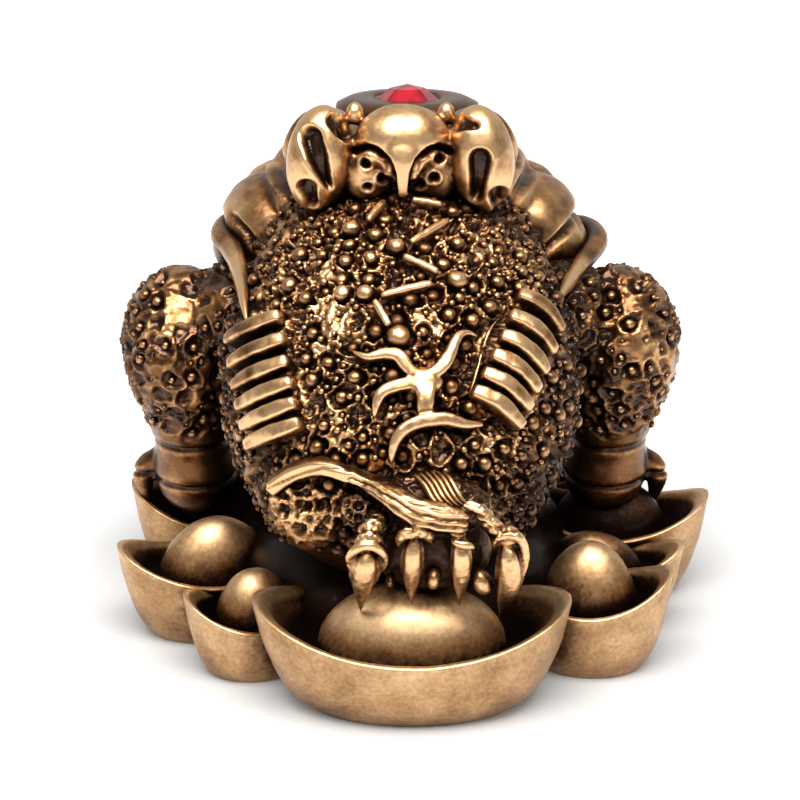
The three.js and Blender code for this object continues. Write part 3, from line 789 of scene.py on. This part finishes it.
STRAP = (
    (-16.6, -22.5, 29.2),
    (-14.4, -23.3, 31.3),
    (-12.5, -23.9, 32.5),
    (-9.6, -25.3, 33.5),
    (-5.6, -27.1, 32.8),
)
SHIN = (
    (-6.4, -26.9, 32.9),
    (-3, -28, 32),
    (-0.5, -30.2, 31.3),
    (1.5, -31.3, 30.3),
    (4.4, -31.8, 29.6),
    (8.3, -31.4, 28.7),
)
SHIN_WIDTHS = (1.0, 1.05, 1.3, 1.55, 1.7, 1.8)
SHIN_DEPTHS = (1.3, 1.6, 1.6, 1.6, 1.6, 1.5)
# A toe's line and half-widths, its claw's line, and the half-widths of the nail and the sheath behind it.
TOES = (
    (
        ((-1.6, -27.5, 27.6), (-3.2, -29.4, 27.2), (-4.1, -30.4, 25)),
        (1.2, 1.5, 1.7),
        ((-4.1, -31, 25.1), (-4.2, -31.5, 22.8), (-4.7, -29.8, 19.3), (-5.1, -25.9, 13.7)),
        1.6,
        2.35,
    ),
    (
        ((2.6, -30.4, 29), (2.2, -31, 28.2), (1.8, -31.2, 26.6)),
        (1, 1.1, 1.1),
        ((1.7, -31.4, 27), (1.5, -31.8, 23.7), (1.4, -30.2, 20.2), (1.4, -26, 14.6)),
        1.25,
        1.75,
    ),
    (
        ((6.8, -30.6, 29), (7, -31, 27.8), (7.2, -31, 26)),
        (1, 1.1, 1.1),
        ((7.2, -31.2, 26.8), (7.5, -31.7, 23.7), (7.5, -30.2, 20.2), (7.4, -26, 14.5)),
        1.3,
        1.6,
    ),
    (
        ((7.4, -31, 31), (9.9, -31, 29.8), (11.2, -31, 28.2), (13.1, -30.6, 26.2)),
        (0.75, 0.9, 0.95, 1.5),
        ((13, -31, 25.6), (13.4, -31.4, 23.6), (13.6, -30.5, 20.7), (13.2, -28, 16.8), (12.7, -24.2, 11.5)),
        1.65,
        2.2,
    ),
)
# The folds that hood the claws.
HOODS = (
    (
        (-6.5, -30.3, 21.7),
        (-6.4, -31.2, 23.7),
        (-5.4, -31.8, 25.1),
        (-4.1, -32, 25.7),
        (-2.7, -31.8, 25.1),
        (-1.8, -31.2, 23.5),
        (-2, -30.3, 21.4),
    ),
    ((-5.9, -30.6, 24.8), (-5, -31.2, 26.1), (-3.9, -31.4, 26.8), (-2.7, -31.2, 26.1), (-1.9, -30.6, 24.6)),
    ((-0.3, -30.8, 24.8), (0.1, -31.8, 26.7), (1.6, -32.4, 27.8), (3.1, -32.1, 27.4), (3.9, -31.2, 25.4)),
    ((6, -31.6, 26.6), (6.9, -32.2, 26.1), (8, -32.4, 25.9), (9.3, -32.2, 25.3)),
    (
        (11.6, -31, 24.6),
        (11.6, -31.7, 26),
        (12.6, -32.1, 27),
        (14.2, -31.9, 26.9),
        (15.2, -31.2, 25.2),
        (15.4, -30.4, 22),
        (14.9, -29.8, 19.6),
    ),
)
HOOD_THICKNESS = (0.65, 0.6, 0.85, 0.6, 0.62)
# Drops between the claws: a place, half a width, half a height, and a lean in degrees.
DROPS = ((4.1, -28.6, 19.7, 1.0, 1.5, 0), (10.2, -28.8, 19.3, 1.3, 1.8, -24), (-1.3, -27.6, 19, 0.6, 0.9, 10))
# The lump of the foot beside its first toe.
LUMP = (-5, -27, 28.2)


def scaled(width, shares):
    return [width * share for share in shares]


def claw(bm, line, nail, sheath):
    """A claw that narrows to a point, with a keel down its nail and a wider sheath behind the nail."""
    widths = scaled(nail, (0.8, 1, 1, 0.94, 0.84, 0.72, 0.58, 0.45, 0.32, 0.2))
    sweep(bm, line, widths, scaled(0.8, widths), 20, 44, 0.4, 0.9, BACKWARD)
    keel = [np.array(p) + (0, -0.62 * nail * share, 0) for p, share in zip(line[1:], (1, 0.9, 0.5, 0.2))]
    sweep(bm, keel, (0.16, 0.36, 0.3, 0.1), (0.2, 0.42, 0.36, 0.1), 12, 30, out=BACKWARD)
    widths = scaled(sheath, (0.8, 1, 0.96, 0.84, 0.66, 0.48, 0.3, 0.1))
    behind = [np.array(p) + (0, 0.75, 0.1) for p in line[:-1]]
    behind.append(np.array(line[-1]) * 0.8 + np.array(line[-2]) * 0.2)
    sweep(bm, behind, widths, scaled(0.62, widths), 20, 40, 0.4, out=BACKWARD)


def hind_leg_form():
    """The plain form of the strap, the shin, the toes, their claws and hoods."""
    bm = bmesh.new()
    sweep(bm, STRAP, (0.95, 0.95, 0.95), (1.35, 1.3, 1.3), 28, 40, 0.05, 0.3, BACKWARD)
    sweep(bm, SHIN, SHIN_WIDTHS, SHIN_DEPTHS, 24, 56, 0.12, 0.6, BACKWARD)
    egg(bm, (4, -26, 29), (7.6, 3.8, 4), (0, 8, 0))
    egg(bm, (4, -24.8, 22), (7.6, 3, 5.5))
    egg(bm, (-5, -26.3, 28.2), (2.4, 2.3, 2.9))
    for root, widths, line, nail, sheath in TOES:
        sweep(bm, root, widths, widths, 16, 24, out=SIDEWAYS)
        claw(bm, line, nail, sheath)
    for line, thickness in zip(HOODS, HOOD_THICKNESS):
        radii = scaled(thickness, (0.4, 0.8, 1, 1, 1, 0.8, 0.4))
        sweep(bm, line, radii, radii, 14, 40, out=BACKWARD)
    egg(bm, (13.2, -31, 26.5), (1.6, 1.2, 1.3))
    for *place, wide, tall, lean in DROPS:
        egg(bm, place, (wide, 1.3, tall), (0, lean, 0), 20, 14)
    return Skin(fused(bm, 0.19)).smooth(2)


def hind_leg():
    """The strap round the haunch, the bony shin, and the foot with its four hooded claws."""
    skin = hind_leg_form()
    points = skin.points
    x, y, z = points.T
    away, share = line_distance(points, evenly(SHIN, 40))
    nearest = Path(SHIN).at(share)
    across = unit(np.cross(Path(SHIN).heading(share), BACKWARD))
    beside = np.einsum("ij,ij->i", points - nearest, across)
    bony = (1 - ramp(away, 2, 2.6)) * ramp(z, 26.6, 27.6) * (share > 0.02)
    sinews = np.sin(beside * 6.3 + 1.6 * grain(points, 3, 2, 52))
    heights = bony * (0.17 * sinews + 0.14 * grain(points * (0.4, 1, 1), 0.7, 3, 51))
    strap = 1 - ramp(line_distance(points, evenly(STRAP, 20))[0], 1.7, 2.2)
    heights += (1 - bony) * (1 - strap) * (0.05 + 0.2 * ramp(z, 25.5, 27.5)) * grain(points, 0.9, 3, 54)
    groove = np.exp(-(((z - np.interp(x, (-16.6, -9.6), (29.9, 33.9))) / 0.2) ** 2))
    heights += strap * (0.05 * grain(points, 1.5, 2, 57) - 0.2 * groove)
    lump = np.linalg.norm((points - LUMP) / (2.6, 2.4, 3.1), axis=1) < 1.15
    chosen, radii = scattered(skin, lump & (away > 1.8), 0.5, 0.75, 1.0, 55)
    heights += dishes(skin, chosen, radii, 0.9, 0.3, 0.2, 56)
    skin.lift(heights)
    worn = 0.3 + 0.5 * ramp(-y, 27.8, 30.6) * (1 - 0.7 * lump)
    finished(skin.mesh, "hind_leg", skin.points, np.maximum(0.9 * strap, worn))


def ankle_tuft(count=6):
    """Strands that fan out over the ankle."""
    bm = bmesh.new()
    for i in range(count):
        a = i / (count - 1)
        strand = (
            (1.7 + 3.4 * a, -27.9 + 0.8 * a, 33.4 + 0.3 * np.sin(3 * a)),
            (3.0 + 3.0 * a, -29.4 + 0.5 * a, 32.4 + 0.7 * a),
            (4.0 + 3.3 * a, -31.0 + 0.3 * a, 31.2 + 0.3 * a),
            (5.4 + 3.0 * a, -31.9 + 0.8 * a, 30.4 + 0.3 * a),
        )
        sweep(bm, strand, (0.32, 0.4, 0.42, 0.25), (0.45, 0.6, 0.6, 0.3), 10, 28, 0.4, out=(0.2, -0.6, 0.8))
    finished(raw_mesh(bm, "tuft"), "ankle_tuft", wear_and_shade=0.62)


# The ingots and what joins them.

# Each ingot's middle in x and y, its turn, its length, width and height, how far its egg-shaped middle rises,
# and how bright that middle is: worn, and darkened as painted shade on the domes under the front legs.
INGOTS = (
    (1.5, -23, 0, 41, 24, 14.5, 9.2, 0.82),
    (-19.3, -13.6, 14, 19, 15, 11.5, 9, 0.56),
    (-25.4, -1.4, 12, 27, 17, 13.5, 9.8, 0.56),
    (-25.5, 17, -2, 27, 17, 14.5, 9, 0.12),
    (25.2, -11.9, -10, 22, 17, 14, 10.4, 0.5),
    (26.5, -0.5, -8, 25, 13.4, 13, 7.6, 0.16),
    (30, 12.5, -6, 28, 18, 15, 9, 0.12),
    (-20, 35, 24, 28, 18, 13.5, 9, 0.56),
    (20, 35, -24, 28, 18, 13.5, 9, 0.56),
    (0, 43.5, 0, 30, 19, 13.5, 9, 0.56),
)


# The hull of an ingot: radius as a share of its half-size at a share of the rim's height.
HULL = ((0.66, 0), (0.8, 0.2), (0.92, 0.55), (1, 1))
RIM_SHARE = 0.7
LIP_DROP = 0.35


def hull_line(rim):
    """The hull's corners from the foot up to just under the rim, as radius and height."""
    return [(r, rim * share if share < 1 else rim - LIP_DROP) for r, share in HULL]


def curved(corners, count):
    """A profile of radius and height through corners, as a smooth curve."""
    return [(x, z) for x, _, z in evenly([(x, 0, z) for x, z in corners], count)]


def ingot_profile(rim, inner, rise):
    """Radius, as a share of the half-size, and height: hull, rounded rim, dish and egg-shaped middle."""
    lip = ((1.0, rim - 0.1), ((1 + inner) / 2, rim + 0.08), (inner, rim - 0.15))
    dish = curved(((inner, rim - 0.3), (0.74, rim - 2.2), (0.62, rim - 2.7)), 9)[1:]
    foot = rim - 2.9
    dome = [(0.6 * math.cos(a), foot + rise * math.sin(a)) for a in np.linspace(0.03, math.pi / 2, 18)]
    return [(0, 0), (0.6, 0), *curved(hull_line(rim), 14), *lip, *dish, *dome[:-1], (0, foot + rise)]


def ingot(index, x, y, yaw, length, width, height, rise, dome_wear_and_shade):
    rim = height * RIM_SHARE
    inner = 1 - 2.4 / width
    bm = bmesh.new()
    turned(bm, ingot_profile(rim, inner, rise), 96)
    shape = np.array([v.co for v in bm.verts])
    for v in bm.verts:
        u, w, z = v.co
        out = math.hypot(u, w)
        z += (height - rim) * u * u * out * min(z / rim, 1) * ramp(out, 0.5, 0.8)
        v.co = (u * length / 2, w * width / 2, z)
    turn = Matrix.Translation((x, y, 0)) @ Matrix.Rotation(math.radians(yaw), 4, "Z")
    bmesh.ops.transform(bm, matrix=turn, verts=bm.verts)
    mesh = raw_mesh(bm, "ingot")
    skin = Skin(mesh)
    above = ramp(skin.points[:, 2], 0.2, 1.5)
    skin.lift(above * (0.12 * grain(skin.points, 6, 2, 60 + index) + 0.03 * grain(skin.points, 1.2, 2, 70)))
    out = np.hypot(shape[:, 0], shape[:, 1])
    z = shape[:, 2]
    radii, levels = np.array(hull_line(rim)).T
    on_hull = out > np.interp(z, levels, radii) - 0.04
    mottle = 0.18 * grain(skin.points, 5, 4, 90 + index)
    # The hull is darker towards the floor: painted shade.
    hull = 0.54 + 0.2 * ramp(z, 0, rim * 0.8) + mottle
    dish = 0.2 + 0.46 * ramp(z, rim - 2.4, rim - 1.2)
    # The dome is dark in a ring at its foot, as patina, and brighter towards its top, partly as wear and
    # partly as painted highlight.
    dome = 0.1 + dome_wear_and_shade * ramp(z, rim - 2.8, rim - 1.9) + 0.2 * ramp(z, rim, rim + 5) + 0.5 * mottle
    worn = np.select([on_hull, out > inner - 0.01, out > 0.61], [hull, 0.95, dish], dome)
    finished(mesh, f"ingot_{index + 1}", skin.points, worn, SATIN)


def mound():
    """The mass under the belly that joins the ingots."""
    bm = bmesh.new()
    turned(bm, [(0, 0), *curved(((1, 0), (0.99, 6), (0.9, 12), (0.6, 18), (0, 21)), 24)], 64)
    bmesh.ops.scale(bm, vec=(25, 31, 1), verts=bm.verts)
    bmesh.ops.translate(bm, vec=(0, 8, 0), verts=bm.verts)
    mesh = raw_mesh(bm, "mound")
    skin = Skin(mesh)
    skin.lift(0.5 * ramp(skin.points[:, 2], 0.2, 2) * grain(skin.points, 4, 3, 80))
    # Dark all over and darkest at the front, under the belly: painted shade.
    worn = 0.05 + 0.35 * ramp(skin.points[:, 1], 0, 24)
    finished(mesh, "belly_mound", skin.points, worn, SATIN)


# Finishes.


class Wire:
    """A node's output whose arithmetic adds Math nodes."""

    def __init__(self, nodes, socket):
        self.nodes = nodes
        self.socket = socket

    def math(self, operation, *values, clamp=False):
        settings = {"operation": operation, "use_clamp": clamp}
        return self.nodes.node("ShaderNodeMath", settings, dict(enumerate(values)))

    def __add__(self, other):
        return self.math("ADD", self, other)

    def __radd__(self, other):
        return self.math("ADD", other, self)

    def __sub__(self, other):
        return self.math("SUBTRACT", self, other)

    def __rsub__(self, other):
        return self.math("SUBTRACT", other, self)

    def __mul__(self, other):
        return self.math("MULTIPLY", self, other)

    def __rmul__(self, other):
        return self.math("MULTIPLY", other, self)

    def clamped(self):
        return self.math("ADD", self, 0, clamp=True)

    def between(self, low, high):
        """0 below low, 1 above high, and smooth between."""
        inputs = {"Value": self, "From Min": low, "From Max": high}
        return self.nodes.node("ShaderNodeMapRange", {"interpolation_type": "SMOOTHSTEP"}, inputs)


class Nodes:
    """The nodes of a material or of the world."""

    def __init__(self, tree):
        self.tree = tree

    def node(self, kind, settings=None, inputs=None, output=0, stops=()):
        """A new node's output. Stops are the places and colours of a ramp."""
        made = self.tree.nodes.new(kind)
        for name, value in (settings or {}).items():
            setattr(made, name, value)
        for place, _ in stops[2:]:
            made.color_ramp.elements.new(place)
        for i, (place, colour) in enumerate(stops):
            made.color_ramp.elements[i].position = place
            made.color_ramp.elements[i].color = (*colour, 1)
        for name, value in (inputs or {}).items():
            self.feed(made.inputs[name], value)
        return Wire(self, made.outputs[output])

    def feed(self, socket, value):
        if isinstance(value, Wire):
            self.tree.links.new(value.socket, socket)
        else:
            socket.default_value = value


class Finish(Nodes):
    """A material and the nodes that it is made of."""

    def __init__(self, name):
        self.material = bpy.data.materials.new(name)
        self.material.use_nodes = True
        super().__init__(self.material.node_tree)
        self.shader = self.tree.nodes["Principled BSDF"]

    def set(self, **values):
        """Sets the shader's own sockets, named with underscores for spaces."""
        for name, value in values.items():
            self.feed(self.shader.inputs[name.replace("_", " ").title().replace("Ior", "IOR")], value)

    def colours(self, share, stops):
        """A colour read from stops of a place and a colour."""
        return self.node("ShaderNodeValToRGB", inputs={0: share}, stops=stops)

    def blend(self, share, low, high):
        """A colour between two others."""
        settings = {"data_type": "RGBA", "clamp_factor": True}
        return self.node("ShaderNodeMix", settings, {0: share, 6: low, 7: high}, 2)


# From the dark gloss in the hollows and the painted shade to the pale gold of the worn edges.
TOAD_STOPS = (
    (0.0, (0.032, 0.015, 0.008)),
    (0.22, (0.07, 0.031, 0.014)),
    (0.45, (0.18, 0.083, 0.033)),
    (0.72, (0.45, 0.24, 0.103)),
    (1.0, (0.76, 0.48, 0.245)),
)
INGOT_STOPS = (
    (0.0, (0.012, 0.006, 0.0035)),
    (0.22, (0.05, 0.022, 0.01)),
    (0.45, (0.2, 0.1, 0.045)),
    (0.72, (0.45, 0.265, 0.125)),
    (1.0, (0.74, 0.5, 0.28)),
)


def antique_bronze(name, stops, roughness, grit, clouds):
    """Worn gold-brown bronze over a dark gloss that stays in the hollows, darkened further by painted shade
    wherever the casting hides itself.
    """
    finish = Finish(name)
    place = finish.node("ShaderNodeTexCoord", output="Object")

    def speckle(scale, detail=3, rough=0.5):
        inputs = {"Vector": place, "Scale": scale, "Detail": detail, "Roughness": rough}
        return finish.node("ShaderNodeTexNoise", {}, inputs)

    def attribute(name):
        return finish.node("ShaderNodeAttribute", {"attribute_name": name}, output="Fac")

    patina_and_shade = attribute("patina_and_shade")
    painted_far_shade = attribute("painted_far_shade")
    edge = attribute("edge")
    wear_and_shade = attribute("wear_and_shade")
    amber = attribute("amber")
    cloud = speckle(230, 4, 0.6)
    fine = speckle(1700, 3, 0.65)
    # The colour is darkened by the near and far hiddenness: the patina of the hollows together with painted
    # shade.
    worn = wear_and_shade - patina_and_shade * 0.95 - painted_far_shade * 0.3 + edge * 0.4 + (cloud - 0.5) * clouds + (fine - 0.5) * grit
    colour = finish.colours(worn.clamped(), stops)
    metal = worn.between(0.05, 0.5)
    deep = (patina_and_shade * 0.6 + painted_far_shade * 0.7).between(0.35, 0.75)
    open_gloss = 1 - deep
    finish.set(
        base_color=finish.blend(amber * 0.8, colour, (0.3, 0.085, 0.014, 1)),
        metallic=(metal * 0.14 + 0.84 + deep * 0.2 - amber * 0.6).clamped(),
        roughness=roughness + metal * 0.1 + deep * 0.25 + fine * 0.1,
        coat_weight=(0.22 - metal * 0.12) * open_gloss,
        coat_roughness=0.1,
    )
    height = fine * 0.5 + speckle(5200, 2) * 0.5
    bump = finish.node("ShaderNodeBump", {}, {"Strength": 0.25, "Distance": 0.00008, "Height": height})
    finish.set(normal=bump)
    return finish.material


def red_glass():
    finish = Finish("red_glass")
    place = finish.node("ShaderNodeTexCoord", output="Object")
    cloud = finish.node("ShaderNodeTexNoise", {}, {"Vector": place, "Scale": 330.0, "Detail": 2.0})
    colour = finish.blend(cloud.between(0.35, 0.65), (0.2, 0.002, 0.006, 1), (0.5, 0.008, 0.024, 1))
    finish.set(base_color=colour, roughness=0.06 + cloud * 0.05, metallic=0.35)
    finish.set(coat_weight=0.8, coat_roughness=0.03)
    return finish.material


def floor_paper():
    """White paper that glows more away from the figure, so that its contact shadows stay soft and pale."""
    finish = Finish("floor_paper")
    place = finish.node("ShaderNodeTexCoord", output="Object")
    cloud = finish.node("ShaderNodeTexNoise", {}, {"Vector": place, "Scale": 30.0, "Detail": 2.0})
    away = finish.node("ShaderNodeVectorMath", {"operation": "LENGTH"}, {0: place}, 1)
    white = finish.blend(cloud, (0.5, 0.51, 0.53, 1), (0.52, 0.53, 0.55, 1))
    glow = finish.blend(away.between(0.035, 0.085), (0.12, 0.12, 0.12, 1), (1, 1, 1, 1))
    finish.set(base_color=white, roughness=0.5, emission_color=glow, emission_strength=0.8)
    return finish.material


BRONZE = antique_bronze("antique_bronze", TOAD_STOPS, 0.2, 0.35, 0.6)
SATIN = antique_bronze("satin_bronze", INGOT_STOPS, 0.3, 0.5, 0.36)
GLASS = red_glass()
PIECES = []


def finished(mesh, name, points=None, wear_and_shade=0.8, finish=BRONZE):
    """The mesh as a piece of the casting, brought into the frame. The brightness it is given is partly wear
    and partly painted shade.
    """
    if points is not None:
        mesh.vertices.foreach_set("co", points.astype(np.float32).ravel())
    store(mesh, "wear_and_shade", np.broadcast_to(wear_and_shade, len(mesh.vertices)))
    mesh.transform(TO_FRAME)
    mesh.update()
    mesh.shade_smooth()
    mesh.materials.clear()
    mesh.materials.append(finish)
    piece = bpy.data.objects.new(name, mesh)
    bpy.context.scene.collection.objects.link(piece)
    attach(piece, "root")
    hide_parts("toad_on_ingots")
    PIECES.append(piece)
    return piece


def shelters(near=7.0, far=24.0, count=9, sets=64):
    """Gives each vertex of the casting how hidden it is by what is near and far, and how proud it stands. The
    near share darkens the finish as patina in the hollows and as painted shade; the far share darkens it as
    painted shade alone.
    """
    places, faces = [], []
    start = 0
    for piece in PIECES:
        mesh = piece.data
        mesh.calc_loop_triangles()
        places.append(Skin.read(mesh.vertices, "co", 3) / MM)
        faces.append(Skin.read(mesh.loop_triangles, "vertices", 3, np.int32) + start)
        start += len(places[-1])
    tree = BVHTree.FromPolygons(np.vstack(places).tolist(), np.vstack(faces).tolist(), all_triangles=True)
    rng = np.random.default_rng(9)
    rays = unit(rng.normal(size=(sets, count, 3)))
    for piece, points in zip(PIECES, places):
        skin = Skin(piece.data)
        skin.points = points
        normals = skin.read(piece.data.vertex_normals, "vector", 3)
        hidden = np.zeros((len(points), 2))
        for i, (point, normal) in enumerate(zip(points, normals)):
            origin = Vector(point + normal * 0.06)
            for ray in rays[i % sets] + normal * 1.05:
                distance = tree.ray_cast(origin, Vector(ray), far)[3]
                if distance is not None:
                    close = max(0, 1 - 0.7 * distance / near) if distance < near else 0
                    hidden[i] += (close, 1 - 0.6 * distance / far)
        hidden /= count
        store(piece.data, "patina_and_shade", skin.relaxed(hidden[:, :1], 1)[:, 0])
        store(piece.data, "painted_far_shade", skin.relaxed(hidden[:, 1:], 5)[:, 0])
        store(piece.data, "edge", np.clip(skin.bend(normals), -1, 1))


def store(mesh, name, values):
    attribute = mesh.attributes.new(name, "FLOAT", "POINT")
    attribute.data.foreach_set("value", np.array(values, np.float32))


def stones():
    for name in ("crown_stone", "eye_stone_left", "eye_stone_right"):
        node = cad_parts[name]
        node.data.materials.clear()
        node.data.materials.append(GLASS)


def studio():
    """A floor of pale paper, a soft room that is brighter beyond the toad's head, and a softbox above."""
    bpy.ops.mesh.primitive_plane_add(size=6)
    floor = bpy.context.object
    floor.name = "floor"
    floor.data.materials.append(floor_paper())
    world = bpy.data.worlds.new("studio")
    bpy.context.scene.world = world
    world.use_nodes = True
    nodes = Nodes(world.node_tree)
    way = nodes.node("ShaderNodeTexCoord", output="Generated")
    y = nodes.node("ShaderNodeSeparateXYZ", inputs={0: way}, output="Y")
    reach = {"Value": y, "From Min": -0.3, "From Max": 0.6, "To Min": 0.18, "To Max": 0.6}
    light = nodes.node("ShaderNodeMapRange", inputs=reach)
    room = nodes.node("ShaderNodeBackground", inputs={"Color": (1, 0.985, 0.965, 1), "Strength": light})
    paper = nodes.node("ShaderNodeBackground")
    seen = nodes.node("ShaderNodeLightPath", output="Is Camera Ray")
    mix = nodes.node("ShaderNodeMixShader", inputs={0: seen, 1: room, 2: paper})
    nodes.feed(world.node_tree.nodes["World Output"].inputs["Surface"], mix)
    softbox((0, -0.19, 0.4), (0, 0, 0.04), (0.42, 0.26), 4.2)
    bpy.context.scene.view_settings.view_transform = "Standard"


def softbox(place, aim, size, power):
    light = bpy.data.lights.new("top_softbox", "AREA")
    light.shape = "RECTANGLE"
    light.size, light.size_y = size
    light.energy = power
    light.color = (1, 0.96, 0.9)
    lamp = bpy.data.objects.new("top_softbox", light)
    lamp.location = place
    lamp.rotation_euler = (Vector(aim) - Vector(place)).to_track_quat("-Z", "Y").to_euler()
    bpy.context.scene.collection.objects.link(lamp)


VIEW_TILT = math.radians(20)
VIEW_DISTANCE = 300 * MM


def camera():
    """Behind the toad, 20 degrees up and 300 mm from the middle of the view."""
    data = bpy.data.cameras.new("camera")
    data.lens = 99.9
    data.sensor_width = 36
    data.clip_start = 0.01
    eye = bpy.data.objects.new("camera", data)
    aim = TO_FRAME @ Vector((-0.05, 0, 33))
    eye.location = aim + Vector((0, -math.cos(VIEW_TILT), math.sin(VIEW_TILT))) * VIEW_DISTANCE
    eye.rotation_euler = (aim - eye.location).to_track_quat("-Z", "Y").to_euler()
    bpy.context.scene.collection.objects.link(eye)
    bpy.context.scene.camera = eye


camera()
back_skin()
flank_bars()
back_tendrils()
head()
crest()
crown()
coin()
shoulder_cords()
for sign, side in SIDES.items():
    front_leg(sign, side)
hind_leg()
ankle_tuft()
for number, values in enumerate(INGOTS):
    ingot(number, *values)
mound()
shelters()
stones()
studio()
